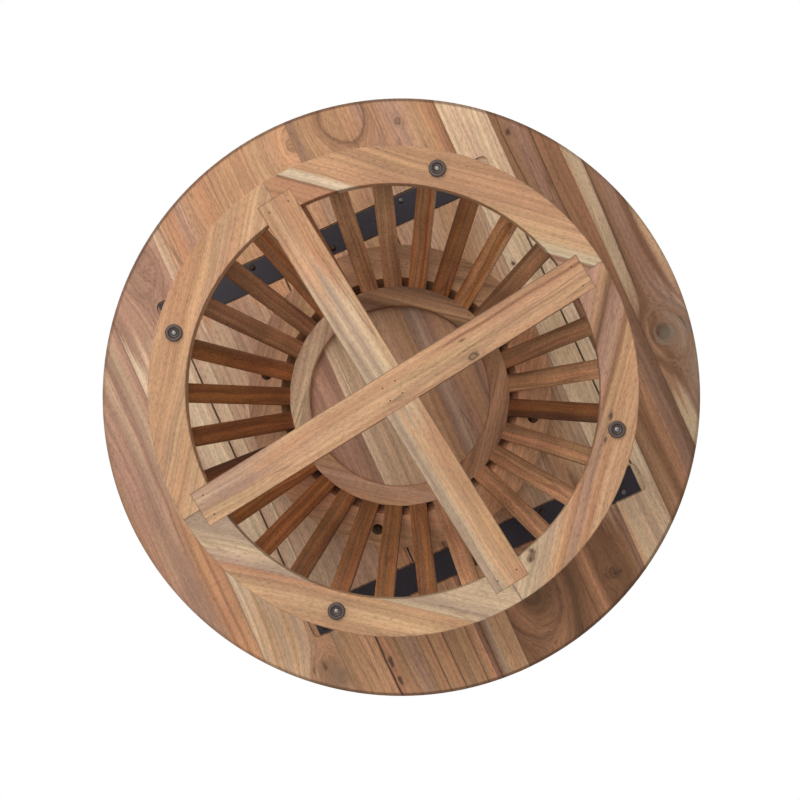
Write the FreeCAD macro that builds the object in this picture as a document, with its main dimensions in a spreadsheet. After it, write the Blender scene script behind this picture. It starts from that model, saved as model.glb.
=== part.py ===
import FreeCAD, Part
import os
import Sketcher

# Round coffee table in solid hardwood: a plank top on a drum of leaning slats.
# The slats stand in a ring that is the foot, and reach up between two rings under a base plate.
# Frame: +Z up, the origin on the floor under the middle of the table, planks along Y.
# Lengths are in millimetres, angles in degrees about +Z.

SIZES = {
    # Top
    "overall_height": 380,
    "top_diameter": 800,
    "top_thickness": 25,
    "top_edge_round": 3,
    # Widths of the planks from -X to +X; for another top they are ripped in the same proportion
    "plank_width_1": 90,
    "plank_width_2": 95,
    "plank_width_3": 102,
    "plank_width_4": 122,
    "plank_width_5": 111,
    "plank_width_6": 83,
    "plank_width_7": 59,
    "plank_width_8": 69,
    "plank_width_9": 69,
    # Steel battens let into the underside, and the saw kerfs that let the planks move.
    # The shifts are along the recesses, from the middle of the table; a slide is within the recess.
    "batten_width": 36,
    "batten_thickness": 4,
    "batten_ring_gap": 10.5,
    "batten_edge_margin": 80,
    "batten_shift": 6,
    "batten_slide_1": -4.5,
    "batten_slide_2": 0,
    "batten_recess_depth": 5,
    "batten_side_gap": 2,
    "batten_end_gap": 8,
    "kerf_count": 4,
    "kerf_spacing": 159,
    "kerf_shift": 4.5,
    "kerf_width": 2.5,
    "kerf_depth": 4,
    "batten_screw_count": 5,
    "batten_screw_end_margin": 16.5,
    "batten_screw_side_margin": 7.5,
    "batten_screw_head_diameter": 8,
    "batten_screw_head_height": 2.6,
    "batten_screw_shank_diameter": 4,
    "batten_screw_bite": 12,
    # Base plate with the hub ring and the mounting ring under it
    "base_plate_thickness": 10,
    "base_ring_thickness": 25,
    "mounting_ring_diameter": 400,
    "hub_ring_inner_diameter": 238,
    "hub_ring_width": 26,
    "hub_ring_round": 3,
    "base_screw_angle": 33.6,
    "base_screw_head_diameter": 14,
    "base_screw_head_height": 4.5,
    "base_screw_shank_diameter": 6,
    "base_screw_bite": 15,
    # Slats
    "slat_count": 29,
    "slat_start_angle": -6.9,
    "slat_width": 23.5,
    "slat_thickness": 12,
    "slat_chamfer": 1,
    "slat_seat": 0.5,
    "slat_housing_depth": 8,
    "slat_foot_inset": 28,
    # Foot ring and the two braces halved across each other
    "foot_ring_inner_diameter": 490,
    "foot_ring_width": 45,
    "foot_stock_thickness": 30,
    "foot_ring_round": 1.5,
    "brace_angle": -7.4,
    "brace_width": 45,
    "brace_lap_length": 23,
    "brad_diameter": 2,
    "brad_setback": 12.5,
    "brad_spread": 26,
    "brad_crossing_spread": 17,
    "brad_tip_cover": 3,
    # Glides, set by hand a little off the middle of their ring segments
    "glide_offset_1": -3.4,
    "glide_offset_2": 1.1,
    "glide_offset_3": 1.6,
    "glide_offset_4": -1.9,
    "glide_diameter": 20.5,
    "glide_height": 5,
    "glide_round": 1.2,
    "glide_recess_diameter": 13,
    "glide_recess_depth": 2.6,
    "glide_screw_head_diameter": 7,
    "glide_screw_head_height": 2,
    "glide_screw_shank_diameter": 3.5,
    "glide_screw_bite": 15,
}

# Heights, radii and lengths that follow from the sizes above.
# A slat's slope is how far it leans outwards for each millimetre that it goes down.
DERIVED = {
    "underside": "Sizes.overall_height - Sizes.top_thickness",
    "plate_bottom": "underside - Sizes.base_plate_thickness",
    "hub_bottom": "plate_bottom - Sizes.base_ring_thickness",
    "foot_top": "Sizes.glide_height + Sizes.foot_stock_thickness",
    "lap_height": "Sizes.foot_stock_thickness / 2",
    "lap_top": "Sizes.glide_height + lap_height",
    "housing_floor": "foot_top - Sizes.slat_housing_depth",
    "top_radius": "Sizes.top_diameter / 2",
    "foot_ring_diameter": "Sizes.foot_ring_inner_diameter + 2 * Sizes.foot_ring_width",
    "foot_radius": "foot_ring_diameter / 2",
    "foot_inner_radius": "Sizes.foot_ring_inner_diameter / 2",
    "hub_ring_diameter": "Sizes.hub_ring_inner_diameter + 2 * Sizes.hub_ring_width",
    "hub_radius": "hub_ring_diameter / 2",
    "hub_inner_radius": "Sizes.hub_ring_inner_diameter / 2",
    "mounting_radius": "Sizes.mounting_ring_diameter / 2",
    "slat_hub_radius": "hub_radius - Sizes.slat_seat",
    "slat_foot_radius": "foot_radius - Sizes.slat_foot_inset",
    "slat_slope": "(slat_foot_radius - slat_hub_radius) / (hub_bottom - foot_top)",
    "slat_run": "Sizes.slat_thickness * sqrt(1 + slat_slope ^ 2)",
    "slat_low_radius": "slat_foot_radius + slat_slope * Sizes.slat_housing_depth",
    "slat_high_radius": "slat_hub_radius - slat_slope * Sizes.base_ring_thickness",
    "base_ring_taper": "slat_slope * Sizes.base_ring_thickness",
    "mounting_inner_radius": "slat_hub_radius + slat_run - Sizes.slat_seat",
    "base_screw_radius": "(mounting_inner_radius + mounting_radius) / 2",
    "base_screw_length": "Sizes.base_ring_thickness + Sizes.base_plate_thickness + Sizes.base_screw_bite",
    "brace_length": "Sizes.foot_ring_inner_diameter + 2 * Sizes.brace_lap_length",
    "brad_end_reach": "brace_length / 2 - Sizes.brad_setback",
    "brad_end_length": "Sizes.foot_stock_thickness - Sizes.slat_housing_depth - Sizes.brad_tip_cover",
    "brad_crossing_length": "Sizes.foot_stock_thickness - Sizes.brad_tip_cover",
    "glide_circle_radius": "(foot_radius + foot_inner_radius) / 2",
    "glide_screw_length": "Sizes.glide_height - Sizes.glide_recess_depth + Sizes.glide_screw_bite",
    "batten_offset": "mounting_radius + Sizes.batten_ring_gap + Sizes.batten_width / 2",
    "kerf_length": "2 * (mounting_radius + Sizes.batten_ring_gap)",
    "batten_half_chord": "sqrt(top_radius ^ 2 - (batten_offset + Sizes.batten_width / 2) ^ 2)",
    "batten_length": "2 * (batten_half_chord - Sizes.batten_edge_margin)",
    "batten_recess_length": "batten_length + 2 * Sizes.batten_end_gap",
    "batten_recess_width": "Sizes.batten_width + 2 * Sizes.batten_side_gap",
    "batten_bottom": "underside + Sizes.batten_recess_depth - Sizes.batten_thickness",
    "batten_screw_length": "Sizes.batten_thickness + Sizes.batten_screw_bite",
    "batten_screw_span": "batten_length - 2 * Sizes.batten_screw_end_margin",
    "batten_screw_stagger": "Sizes.batten_width / 2 - Sizes.batten_screw_side_margin",
}

# Places of the glue joints across the top; the first and last of them are its two edges.
PLANK_WIDTHS = [f"Sizes.{alias}" for alias in SIZES if alias.startswith("plank_width_")]
DERIVED["plank_panel_width"] = " + ".join(PLANK_WIDTHS)
DERIVED["plank_joint_0"] = "-top_radius"
for number, width in enumerate(PLANK_WIDTHS, start=1):
    ripped = f"{width} * Sizes.top_diameter / plank_panel_width"
    DERIVED[f"plank_joint_{number}"] = f"plank_joint_{number - 1} + {ripped}"

QUARTERS = range(4)
# The side of the middle that each batten lies on, along Y
BATTEN_SIDES = {1: -1, 2: 1}

doc = FreeCAD.newDocument("round_coffee_table")


def fill_sheet(name, cells):
    """A spreadsheet with a name, a value or formula and an alias on each row."""
    sheet = doc.addObject("Spreadsheet::Sheet", name)
    for row, (alias, content) in enumerate(cells.items(), start=1):
        sheet.set(f"A{row}", alias)
        sheet.set(f"B{row}", content)
        sheet.setAlias(f"B{row}", alias)
    doc.recompute()
    return sheet


sizes = fill_sheet("Sizes", {alias: str(value) for alias, value in SIZES.items()})
derived = fill_sheet("Derived", {alias: f"={formula}" for alias, formula in DERIVED.items()})
parts = {}


def value(formula):
    """The number that a formula gives with the present sizes."""
    return float(sizes.evalExpression(formula))


def bind(piece, formulas):
    """Tie each named property of a piece to its formula."""
    for name, formula in formulas.items():
        piece.setExpression(name, formula)
    return piece


def place(piece, x="0", y="0", z="0", turn="0"):
    """Put a piece at a point, turned about the upright axis."""
    where = {"x": x, "y": y, "z": z}
    bind(piece, {f"Placement.Base.{axis}": formula for axis, formula in where.items()})
    return bind(piece, {"Placement.Rotation.Angle": turn})


def around(radius, angle, z):
    """The place on a circle about the upright axis, as formulas for place()."""
    return {"x": f"{radius} * cos({angle})", "y": f"{radius} * sin({angle})", "z": z}


def outline(body, role, points):
    """A closed sketch on one of the body's origin planes, each corner held by two distances."""
    sketch = body.newObject("Sketcher::SketchObject", f"{body.Name}_outline")
    plane = next(feature for feature in body.Origin.OriginFeatures if feature.Role == role)
    sketch.AttachmentSupport = [(plane, "")]
    sketch.MapMode = "FlatFace"
    corners = [FreeCAD.Vector(value(across), value(up), 0) for across, up in points]
    count = len(corners)
    for number, corner in enumerate(corners):
        sketch.addGeometry(Part.LineSegment(corner, corners[(number + 1) % count]), False)
    for number in range(count):
        sketch.addConstraint(Sketcher.Constraint("Coincident", number, 2, (number + 1) % count, 1))
    for number, formulas in enumerate(points):
        for kind, start, formula in zip(("DistanceX", "DistanceY"), corners[number], formulas):
            held = sketch.addConstraint(Sketcher.Constraint(kind, -1, 1, number, 1, start))
            sketch.setExpression(f"Constraints[{held}]", formula)
    return sketch


def turned(name, points):
    """A body turned about the upright axis from corners given as radius and height."""
    body = doc.addObject("PartDesign::Body", name)
    turning = body.newObject("PartDesign::Revolution", f"{name}_turning")
    turning.Profile = outline(body, "XZ_Plane", points)
    turning.ReferenceAxis = (turning.Profile[0], ["V_Axis"])
    turning.Angle = 360
    return body


def slab(name, length, width, height):
    """A rectangular body, centred on the upright axis and standing on height zero."""
    x_low, x_high = f"-({length}) / 2", f"({length}) / 2"
    y_low, y_high = f"-({width}) / 2", f"({width}) / 2"
    corners = [(x_low, y_low), (x_high, y_low), (x_high, y_high), (x_low, y_high)]
    body = doc.addObject("PartDesign::Body", name)
    pad = body.newObject("PartDesign::Pad", f"{name}_pad")
    pad.Profile = outline(body, "XY_Plane", corners)
    bind(pad, {"Length": height})
    return body


def ease(body, kind, size, chosen):
    """Round or chamfer the edges of a body that the test chooses."""
    doc.recompute()
    base = body.Tip
    names = [f"Edge{number}" for number, edge in enumerate(base.Shape.Edges, start=1) if chosen(edge)]
    dressing = body.newObject(f"PartDesign::{kind}", f"{body.Name}_{kind.lower()}")
    dressing.Base = (base, names)
    bind(dressing, {"Radius" if kind == "Fillet" else "Size": size})
    body.Tip = dressing
    return body


def rim(radius, height):
    """A test for the circle of that radius about the upright axis, at that height."""
    wanted = (value(radius), value(height))

    def chosen(edge):
        if not isinstance(edge.Curve, Part.Circle):
            return False
        return abs(edge.Curve.Radius - wanted[0]) < 0.01 and abs(edge.Curve.Center.z - wanted[1]) < 0.01

    return chosen


def either(*tests):
    """A test that passes where any of the tests does."""
    return lambda edge: any(test(edge) for test in tests)


def upright(edge):
    """A test for edges that run up along the piece."""
    start, end = edge.Vertexes[0].Point, edge.Vertexes[-1].Point
    return abs(end.z - start.z) > (end - start).Length / 2


def group(name, pieces):
    """Separate solids that share one node or one cutting tool."""
    compound = doc.addObject("Part::Compound", name)
    compound.Links = pieces
    return compound


def cut(name, base, *tools):
    """The base with each tool cut out of it in turn."""
    for number, tool in enumerate(tools, start=1):
        cutting = doc.addObject("Part::Cut", f"{name}_cut_{number}")
        cutting.Base = base
        cutting.Tool = tool
        base = cutting
    return base


def common(name, first, second):
    """What two pieces share."""
    shared = doc.addObject("Part::Common", name)
    shared.Base = first
    shared.Tool = second
    return shared


def keep(label, piece):
    """Hand a finished sub-part in under its label."""
    piece.Label = label
    parts[label] = piece
    return piece


def screw(name, kind, length):
    """A pan-head screw pointing up, with the face under its head at height zero."""
    head_radius = f"Sizes.{kind}_head_diameter / 2"
    shank_radius = f"Sizes.{kind}_shank_diameter / 2"
    head_bottom = f"-Sizes.{kind}_head_height"
    profile = [
        ("0", head_bottom),
        (head_radius, head_bottom),
        (head_radius, "0"),
        (shank_radius, "0"),
        (shank_radius, length),
        ("0", length),
    ]
    return turned(name, profile)


# Fasteners come first, because they also cut their own holes

def batten_x(batten_number):
    """How far along X the middle of a recess lies: the two are set off in opposite ways."""
    return f"{BATTEN_SIDES[batten_number]} * Sizes.batten_shift"


def batten_y(batten_number):
    """How far along Y the middle of a batten lies."""
    return f"{BATTEN_SIDES[batten_number]} * Derived.batten_offset"


def batten_screw(batten_number, number):
    """A screw of one batten; they zigzag along it, spaced from the middle of the table."""
    name = f"batten_screw_{batten_number}_{number + 1}"
    body = screw(name, "batten_screw", "Derived.batten_screw_length")
    stagger = "-" if number % 2 else "+"
    along = f"Derived.batten_screw_span * ({number} / (Sizes.batten_screw_count - 1) - 0.5)"
    across = f"{batten_y(batten_number)} {stagger} Derived.batten_screw_stagger"
    return place(body, x=along, y=across, z="Derived.batten_bottom")


screws_per_batten = range(round(value("Sizes.batten_screw_count")))
batten_screws = [batten_screw(batten, number) for batten in BATTEN_SIDES for number in screws_per_batten]
batten_screw_group = keep("batten_screws", group("batten_screw_group", batten_screws))


def base_screw(quarter):
    """One of the four screws that hold the base to the top."""
    body = screw(f"base_screw_{quarter + 1}", "base_screw", "Derived.base_screw_length")
    angle = f"Sizes.base_screw_angle + {90 * quarter}"
    return place(body, **around("Derived.base_screw_radius", angle, "Derived.hub_bottom"))


base_screw_group = keep("base_screws", group("base_screw_group", [base_screw(q) for q in QUARTERS]))


def glide_angle(quarter):
    """Where a glide stands: near the middle of its foot ring segment."""
    return f"Sizes.brace_angle + {45 + 90 * quarter} + Sizes.glide_offset_{quarter + 1}"


def glide_screw(quarter):
    """The screw in the recess of one glide."""
    body = screw(f"glide_screw_{quarter + 1}", "glide_screw", "Derived.glide_screw_length")
    spot = around("Derived.glide_circle_radius", glide_angle(quarter), "Sizes.glide_recess_depth")
    return place(body, **spot)


glide_screw_group = keep("glide_screws", group("glide_screw_group", [glide_screw(q) for q in QUARTERS]))


def brad(name, along, across, turn, length):
    """A brad driven up through a brace, placed along and across it."""
    nail = doc.addObject("Part::Cylinder", name)
    bind(nail, {"Radius": "Sizes.brad_diameter / 2", "Height": length})
    x = f"({along}) * cos({turn}) - ({across}) * sin({turn})"
    y = f"({along}) * sin({turn}) + ({across}) * cos({turn})"
    return place(nail, x=x, y=y, z="Sizes.glide_height")


def brads():
    """Two brads at each brace end, one in each ring segment, and four where the braces cross."""
    nails = []
    for quarter in QUARTERS:
        turn = f"Sizes.brace_angle + {90 * quarter}"
        for side in (-1, 1):
            across = f"{side} * Sizes.brad_spread / 2"
            name = f"brad_end_{quarter + 1}_{side + 2}"
            nails.append(brad(name, "Derived.brad_end_reach", across, turn, "Derived.brad_end_length"))
        half = "Sizes.brad_crossing_spread / 2"
        name = f"brad_crossing_{quarter + 1}"
        nails.append(brad(name, half, half, turn, "Derived.brad_crossing_length"))
    return nails


brad_group = keep("brace_brads", group("brad_group", brads()))


# Glides

def glide(quarter):
    """A plastic glide: a disc with a recess for its screw, standing on the floor."""
    radius = "Sizes.glide_diameter / 2"
    hole = "Sizes.glide_screw_shank_diameter / 2"
    recess = "Sizes.glide_recess_diameter / 2"
    profile = [
        (hole, "Sizes.glide_recess_depth"),
        (recess, "Sizes.glide_recess_depth"),
        (recess, "0"),
        (radius, "0"),
        (radius, "Sizes.glide_height"),
        (hole, "Sizes.glide_height"),
    ]
    body = turned(f"glide_{quarter + 1}", profile)
    ease(body, "Fillet", "Sizes.glide_round", rim(radius, "0"))
    return place(body, **around("Derived.glide_circle_radius", glide_angle(quarter), "0"))


keep("foot_glides", group("glide_group", [glide(q) for q in QUARTERS]))


# Slats, whose lower ends stand in housings and whose upper ends reach up to the base plate

def slat(number):
    """A leaning slat, cut level at both ends."""
    side_view = [
        ("Derived.slat_low_radius", "Derived.housing_floor"),
        ("Derived.slat_low_radius + Derived.slat_run", "Derived.housing_floor"),
        ("Derived.slat_high_radius + Derived.slat_run", "Derived.plate_bottom"),
        ("Derived.slat_high_radius", "Derived.plate_bottom"),
    ]
    body = doc.addObject("PartDesign::Body", f"slat_body_{number + 1}")
    pad = body.newObject("PartDesign::Pad", f"slat_pad_{number + 1}")
    pad.Profile = outline(body, "XZ_Plane", side_view)
    pad.SideType = "Symmetric"
    bind(pad, {"Length": "Sizes.slat_width"})
    ease(body, "Chamfer", "Sizes.slat_chamfer", upright)
    return place(body, turn=f"Sizes.slat_start_angle + {number} * 360 / Sizes.slat_count")


slats = [slat(number) for number in range(round(value("Sizes.slat_count")))]
for number, body in enumerate(slats, start=1):
    keep(f"slat_{number:02d}", body)
slat_group = group("slat_group", slats)


# Rings are turned whole, cut for what goes into them, then parted into four at the brace ends

def quarter_wedge(quarter):
    """The quarter of the table between two neighbouring brace ends."""
    wedge = doc.addObject("Part::Cylinder", f"quarter_{quarter + 1}")
    bind(wedge, {"Radius": "Derived.top_radius", "Height": "Sizes.overall_height", "Angle": "90"})
    return place(wedge, turn=f"Sizes.brace_angle + {90 * quarter}")


wedges = [quarter_wedge(quarter) for quarter in QUARTERS]


def part_ring(label, ring):
    """Keep the four segments of a ring."""
    for quarter in QUARTERS:
        segment = common(f"{label}_common_{quarter + 1}", ring, wedges[quarter])
        keep(f"{label}_{quarter + 1}", segment)


def mounting_ring():
    """The ring round the slats' upper ends, its inner wall leaning with them."""
    profile = [
        ("Derived.mounting_inner_radius", "Derived.hub_bottom"),
        ("Derived.mounting_radius", "Derived.hub_bottom"),
        ("Derived.mounting_radius", "Derived.plate_bottom"),
        ("Derived.mounting_inner_radius - Derived.base_ring_taper", "Derived.plate_bottom"),
    ]
    ring = turned("mounting_ring", profile)
    return cut("mounting_ring", ring, base_screw_group, slat_group)


def hub_ring():
    """The ring inside the slats' upper ends, its outer wall leaning with them."""
    profile = [
        ("Derived.hub_inner_radius", "Derived.hub_bottom"),
        ("Derived.hub_radius", "Derived.hub_bottom"),
        ("Derived.hub_radius - Derived.base_ring_taper", "Derived.plate_bottom"),
        ("Derived.hub_inner_radius", "Derived.plate_bottom"),
    ]
    ring = turned("hub_ring", profile)
    ease(ring, "Fillet", "Sizes.hub_ring_round", rim("Derived.hub_inner_radius", "Derived.hub_bottom"))
    return cut("hub_ring", ring, slat_group)


part_ring("mounting_ring_segment", mounting_ring())
part_ring("hub_ring_segment", hub_ring())


def base_plate():
    """The disc that both upper rings are glued to, flat against the top."""
    disc = doc.addObject("Part::Cylinder", "base_disc")
    bind(disc, {"Radius": "Derived.mounting_radius", "Height": "Sizes.base_plate_thickness"})
    place(disc, z="Derived.plate_bottom")
    return cut("base_plate", disc, base_screw_group)


keep("base_plate", base_plate())


# Foot ring and braces

def brace_blank(name, quarter, height):
    """A bar across the foot ring, as long as a brace, flush with the ring's lower face."""
    bar = slab(name, "Derived.brace_length", "Sizes.brace_width", height)
    return place(bar, z="Sizes.glide_height", turn=f"Sizes.brace_angle + {90 * quarter}")


def foot_ring():
    """The ring that the slats stand in, notched from below for the brace ends."""
    profile = [
        ("Derived.foot_inner_radius", "Sizes.glide_height"),
        ("Derived.foot_radius", "Sizes.glide_height"),
        ("Derived.foot_radius", "Derived.foot_top"),
        ("Derived.foot_inner_radius", "Derived.foot_top"),
    ]
    ring = turned("foot_ring", profile)
    rims = [
        rim(radius, height)
        for radius in ("Derived.foot_inner_radius", "Derived.foot_radius")
        for height in ("Sizes.glide_height", "Derived.foot_top")
    ]
    ease(ring, "Fillet", "Sizes.foot_ring_round", either(*rims))
    notches = [brace_blank(f"lap_notch_{quarter + 1}", quarter, "Derived.lap_height") for quarter in (0, 1)]
    return cut("foot_ring", ring, *notches, brad_group, glide_screw_group, slat_group)


part_ring("foot_ring_segment", foot_ring())


def brace_laps():
    """The room that the foot ring takes above the lapped ends of the braces."""
    profile = [
        ("Derived.foot_inner_radius", "Derived.lap_top"),
        ("Derived.foot_radius", "Derived.lap_top"),
        ("Derived.foot_radius", "Derived.foot_top"),
        ("Derived.foot_inner_radius", "Derived.foot_top"),
    ]
    return turned("brace_laps", profile)


def crossing_notch(name, bottom):
    """Half the depth of the square where the braces cross."""
    notch = slab(name, "Sizes.brace_width", "Sizes.brace_width", "Derived.lap_height")
    return place(notch, z=bottom, turn="Sizes.brace_angle")


def braces():
    """Two braces halved across each other; the first keeps its lower face whole."""
    laps = brace_laps()
    notch_heights = ("Derived.lap_top", "Sizes.glide_height")
    for quarter, notch_bottom in enumerate(notch_heights):
        number = quarter + 1
        bar = brace_blank(f"brace_blank_{number}", quarter, "Sizes.foot_stock_thickness")
        notch = crossing_notch(f"crossing_notch_{number}", notch_bottom)
        keep(f"cross_brace_{number}", cut(f"brace_{number}", bar, laps, notch, brad_group))


braces()


# Steel battens

def batten(number):
    """A flat steel bar across the planks, with a hole for each of its screws."""
    name = f"batten_bar_{number}"
    bar = slab(name, "Derived.batten_length", "Sizes.batten_width", "Sizes.batten_thickness")
    along = f"{batten_x(number)} + Sizes.batten_slide_{number}"
    place(bar, x=along, y=batten_y(number), z="Derived.batten_bottom")
    return cut(name, bar, batten_screw_group)


for number in BATTEN_SIDES:
    keep(f"steel_batten_{number}", batten(number))


# Plank top

def batten_recess(number):
    """The routed recess round a batten, with round corners beyond the batten's ends."""
    length, width = "Derived.batten_recess_length", "Derived.batten_recess_width"
    recess = slab(f"batten_recess_{number}", length, width, "Sizes.batten_recess_depth")
    ease(recess, "Fillet", "Sizes.batten_end_gap", upright)
    return place(recess, x=batten_x(number), y=batten_y(number), z="Derived.underside")


def kerf(number):
    """A saw kerf along the planks, from one batten recess to the other."""
    groove = slab(f"kerf_{number + 1}", "Sizes.kerf_width", "Derived.kerf_length", "Sizes.kerf_depth")
    across = f"({number} - (Sizes.kerf_count - 1) / 2) * Sizes.kerf_spacing + Sizes.kerf_shift"
    return place(groove, x=across, z="Derived.underside")


def top_disc():
    """The whole top, cut for the battens, the kerfs and the screws."""
    profile = [
        ("0", "Derived.underside"),
        ("Derived.top_radius", "Derived.underside"),
        ("Derived.top_radius", "Sizes.overall_height"),
        ("0", "Sizes.overall_height"),
    ]
    disc = turned("top_disc", profile)
    lower_rim = rim("Derived.top_radius", "Derived.underside")
    upper_rim = rim("Derived.top_radius", "Sizes.overall_height")
    ease(disc, "Fillet", "Sizes.top_edge_round", either(lower_rim, upper_rim))
    recesses = group("recess_group", [batten_recess(number) for number in BATTEN_SIDES])
    kerf_numbers = range(round(value("Sizes.kerf_count")))
    kerfs = group("kerf_group", [kerf(number) for number in kerf_numbers])
    return cut("top", disc, recesses, kerfs, batten_screw_group, base_screw_group)


def planks(disc):
    """Strips of the top between its glue joints."""
    for number in range(1, len(PLANK_WIDTHS) + 1):
        left, right = f"Derived.plank_joint_{number - 1}", f"Derived.plank_joint_{number}"
        strip = doc.addObject("Part::Box", f"plank_strip_{number}")
        bind(strip, {"Length": f"{right} - ({left})", "Width": "Sizes.top_diameter"})
        bind(strip, {"Height": "Sizes.top_thickness"})
        place(strip, x=left, y="-Derived.top_radius", z="Derived.underside")
        keep(f"top_plank_{number}", common(f"plank_{number}", disc, strip))


planks(top_disc())


# Nothing is written unless every object is sound

doc.recompute()
for piece in doc.Objects:
    if "Invalid" in piece.State or "Error" in piece.State:
        raise RuntimeError(f"{piece.Label} failed: {piece.State}")
for label, piece in parts.items():
    if piece.Shape.isNull() or not piece.Shape.isValid() or not piece.Shape.Solids:
        raise RuntimeError(f"{label} has no sound solid")

os.makedirs("parts", exist_ok=True)
for label, piece in parts.items():
    piece.Shape.exportStep(f"parts/{label}.step")
print(f"{len(parts)} sub-parts written")
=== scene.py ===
import math
from dataclasses import dataclass

import bmesh
import bpy
from mathutils import Matrix, Vector


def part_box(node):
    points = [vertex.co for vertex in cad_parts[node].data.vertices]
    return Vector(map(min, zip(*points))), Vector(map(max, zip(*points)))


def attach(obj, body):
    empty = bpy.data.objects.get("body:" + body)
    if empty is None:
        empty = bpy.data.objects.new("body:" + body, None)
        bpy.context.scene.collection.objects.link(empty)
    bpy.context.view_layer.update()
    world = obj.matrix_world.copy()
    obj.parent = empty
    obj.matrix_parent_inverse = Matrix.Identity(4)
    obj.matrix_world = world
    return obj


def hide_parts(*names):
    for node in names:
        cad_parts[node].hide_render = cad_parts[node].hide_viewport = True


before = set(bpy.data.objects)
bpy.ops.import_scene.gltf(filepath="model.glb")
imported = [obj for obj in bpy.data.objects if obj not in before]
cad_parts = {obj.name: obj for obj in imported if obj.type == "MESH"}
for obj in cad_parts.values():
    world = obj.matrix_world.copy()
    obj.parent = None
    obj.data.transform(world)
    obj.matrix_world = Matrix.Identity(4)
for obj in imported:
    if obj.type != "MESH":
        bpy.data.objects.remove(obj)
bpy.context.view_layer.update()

# Round coffee table in oiled acacia, seen from underneath: planks, rings, braces and slats.
# The CAD nodes keep their shapes and get their wood and steel here.
# Screws and glides are made again, with drive recesses and moulded rims.
# Boards, knots and patterns are laid out in millimetres; meshes are in metres.

MM = 0.001
BODY = "root"

# The part's own layout that the wood has to follow, in degrees and millimetres

BRACE_ANGLE = -7.4
SLAT_COUNT = 29
SLAT_START_ANGLE = -6.9
SLAT_SLOPE = 0.412
QUARTERS = (1, 2, 3, 4)
QUARTER_TURN = 90
ALONG_Y = 90

# Tones of acacia, from pale sapwood to the dark heart and its knots

TONES = {
    "cream": "#dcc1a0",
    "sapwood": "#d0b18e",
    "fawn": "#c6a385",
    "straw": "#cfa37b",
    "honey": "#c7966f",
    "rust": "#c18b66",
    "tan": "#b98c67",
    "rose": "#b68c73",
    "grey_tan": "#b0937b",
    "slate": "#857868",
    "mauve": "#a17963",
    "copper": "#bd7b47",
    "amber": "#a56c41",
    "chestnut": "#946849",
    "russet": "#8e5a35",
    "umber": "#7a553b",
    "cocoa": "#6d4429",
    "bark": "#553a2a",
    "knot": "#3f2a22",
}

# Node kinds and the sockets of a colour mix

MATH = "ShaderNodeMath"
MAPPING = "ShaderNodeMapping"
NOISE = "ShaderNodeTexNoise"
RANGE = "ShaderNodeMapRange"
RAMP = "ShaderNodeValToRGB"
MIX = "ShaderNodeMix"
MIX_FACTOR, MIX_FIRST, MIX_SECOND, MIX_RESULT = 0, 6, 7, 2


def linear(code):
    """An sRGB hex colour as the linear colour that shaders take."""
    channels = [int(code[start:start + 2], 16) / 255 for start in (1, 3, 5)]
    return [c / 12.92 if c <= 0.04045 else ((c + 0.055) / 1.055) ** 2.4 for c in channels] + [1.0]


def add(tree, kind, inputs=(), out=0, **settings):
    """A node with its settings; each input is a constant or the output that feeds it."""
    node = tree.nodes.new(kind)
    for name, setting in settings.items():
        setattr(node, name, setting)
    for name, source in inputs.items() if isinstance(inputs, dict) else enumerate(inputs):
        if isinstance(source, bpy.types.NodeSocket):
            tree.links.new(source, node.inputs[name])
        else:
            node.inputs[name].default_value = source
    return node.outputs[out] if node.outputs else node


def new_tree(name):
    """An empty material and its node tree."""
    material = bpy.data.materials.new(name)
    material.use_nodes = True
    material.node_tree.nodes.clear()
    return material, material.node_tree


def surface(tree, inputs):
    """The Principled shader that ends a material."""
    shader = add(tree, "ShaderNodeBsdfPrincipled", inputs)
    add(tree, "ShaderNodeOutputMaterial", {"Surface": shader})


def stops(ramp_output, marks):
    """Set a colour ramp's stops from places between 0 and 1 and colours."""
    ramp = ramp_output.node.color_ramp
    for number, (place, colour) in enumerate(marks):
        stop = ramp.elements[number] if number < len(ramp.elements) else ramp.elements.new(place)
        stop.position = place
        stop.color = colour


def new_object(name, data):
    """An object in the scene for a mesh, a lamp or a camera."""
    made = bpy.data.objects.new(name, data)
    bpy.context.scene.collection.objects.link(made)
    return made


def finished_mesh(name, bm):
    """The mesh that a bmesh has built; the bmesh is freed."""
    mesh = bpy.data.meshes.new(name)
    bm.to_mesh(mesh)
    bm.free()
    return mesh


# Acacia, sawn and oiled: bands of colour along the grain, faint growth lines that bend round knots, thin
# dark veins and open pores. The oil leaves it dull, with a faint sheen that the pores break up.


@dataclass
class Pattern:
    """A pattern in the wood: its size in mm across the grain, along it and through the board.

    Its draw is added to the board's seed, so each pattern of a board is taken from another place.
    """
    size: tuple
    draw: int
    detail: float = 2.0


DRIFT = Pattern(size=(75, 260, 75), draw=0)
FIGURE = Pattern(size=(85, 190, 85), draw=1, detail=1.5)
GROWTH = Pattern(size=(4, 420, 40), draw=2, detail=3.0)
# Vessels are about 0.3 mm wide, too fine to show, so they are drawn about twice as wide
VESSELS = Pattern(size=(0.7, 6, 3), draw=3)
VEIN = Pattern(size=(30, 620, 60), draw=4)
CLOUD = Pattern(size=(38, 95, 38), draw=5, detail=3.0)
WARP = Pattern(size=(5, 8, 5), draw=6)
BLUSH = Pattern(size=(30, 170, 60), draw=7, detail=3.0)
FLAME = Pattern(size=(9, 260, 40), draw=8)
SEED_STEPS = (7.3, 3.1, 1.9)
NOISE_ROUGHNESS = 0.55

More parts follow.
